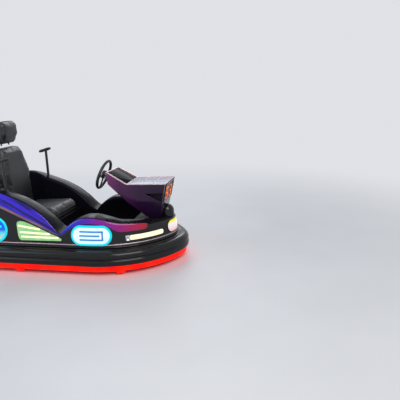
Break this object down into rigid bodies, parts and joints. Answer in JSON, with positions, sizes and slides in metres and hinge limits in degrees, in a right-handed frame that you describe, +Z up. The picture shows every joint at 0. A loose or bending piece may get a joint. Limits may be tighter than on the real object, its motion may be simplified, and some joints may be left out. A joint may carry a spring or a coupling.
{
  "type": "battery bumper car with lit body",
  "caption": "Fairground battery bumper car: rubber bumper ring, lit lamps, finned side fenders, steering console, high-back seat, and a steered drive wheel in the nose.",
  "frame": {"origin": "on the floor, below the middle of the bumper ring", "axes": "+X towards the nose, +Y towards the rider's left, +Z up"},
  "size_m": [1.95, 1.16, 1.1987],
  "materials": {
    "frame_steel": "satin black paint",
    "floor_steel": "black chequered sheet",
    "battery_case": "matte",
    "zinc_steel": "zinc plated",
    "ring_rubber": "semi-gloss moulded rubber",
    "glow_red": "lit translucent strip",
    "body_black": "gloss gel coat",
    "fender_blue": "gloss metallic paint",
    "lens_white": "lit lens",
    "lens_cyan": "lit lens",
    "lens_green": "lit lens",
    "lens_red": "lit lens",
    "console_violet": "gloss paint",
    "plate_pale": "gloss",
    "screen_black": "gloss tinted acrylic",
    "display_dark": "lit display panel",
    "seat_vinyl": "black vinyl",
    "handle_black": "black powder coat",
    "wheel_foam": "soft foam grip",
    "fork_paint": "grey paint",
    "motor_cast": "cast housing",
    "hub_alloy": "cast",
    "tyre_black": "solid tyre"
  },
  "bodies": {
    "car": {"chassis_frame": "frame_steel", "floor_pan": "floor_steel", "battery_block": "battery_case", "rear_axle": "zinc_steel", "bumper_ring": "ring_rubber", "glow_strip": "glow_red", "nose_shell": "body_black", "side_wall_left": "body_black", "side_wall_right": "body_black", "tail_shell": "body_black", "nose_dome": "body_black", "front_fender_left": "fender_blue", "front_fender_right": "fender_blue", "rear_fender_left": "fender_blue", "rear_fender_right": "fender_blue", "lamp_front_centre": "lens_white", "lamp_corner_left": "lens_white", "lamp_corner_right": "lens_white", "lamp_oval_left": "lens_cyan", "lamp_oval_right": "lens_cyan", "lamp_triangle_left": "lens_green", "lamp_triangle_right": "lens_green", "lamp_round_left": "lens_cyan", "lamp_round_right": "lens_cyan", "lamps_rear_upper": "lens_white", "lamps_tail": "lens_red", "console_shell": "console_violet", "console_top_plate": "plate_pale", "windscreen_panel": "screen_black", "score_display": "display_dark", "seat_base": "body_black", "seat_frame": "frame_steel", "seat_cushion": "seat_vinyl", "seat_back": "seat_vinyl", "headrest": "seat_vinyl", "grab_handles": "handle_black", "foot_pedal": "zinc_steel"},
    "steering": {"steering_wheel": "wheel_foam", "steering_shaft": "zinc_steel"},
    "drive_unit": {"drive_fork": "fork_paint", "drive_motor": "motor_cast"},
    "drive_wheel": {"drive_hub": "hub_alloy", "drive_tyre": "tyre_black"},
    "rear_wheel_left": {"rear_hub_left": "hub_alloy", "rear_tyre_left": "tyre_black"},
    "rear_wheel_right": {"rear_hub_right": "hub_alloy", "rear_tyre_right": "tyre_black"}
  },
  "joints": [
    {"name": "drive_steer", "type": "hinge", "parent": "car", "child": "drive_unit", "pos_m": [0.69, 0, 0.25], "axis": [0, 0, 1], "range_deg": [-90, 90]},
    {"name": "steering_turn", "type": "hinge", "parent": "car", "child": "steering", "pos_m": [0.232, 0, 0.726], "axis": [-0.9272, 0, 0.3746], "range_deg": [-180, 180]},
    {"name": "drive_roll", "type": "hinge", "parent": "drive_unit", "child": "drive_wheel", "pos_m": [0.69, 0, 0.095], "axis": [0, 1, 0], "continuous": true},
    {"name": "rear_roll_left", "type": "hinge", "parent": "car", "child": "rear_wheel_left", "pos_m": [-0.45, 0.235, 0.095], "axis": [0, 1, 0], "continuous": true},
    {"name": "rear_roll_right", "type": "hinge", "parent": "car", "child": "rear_wheel_right", "pos_m": [-0.45, -0.235, 0.095], "axis": [0, 1, 0], "continuous": true}
  ],
  "couplings": [
    {"joint": "steering_turn", "follows": "drive_steer", "ratio": 2}
  ]
}
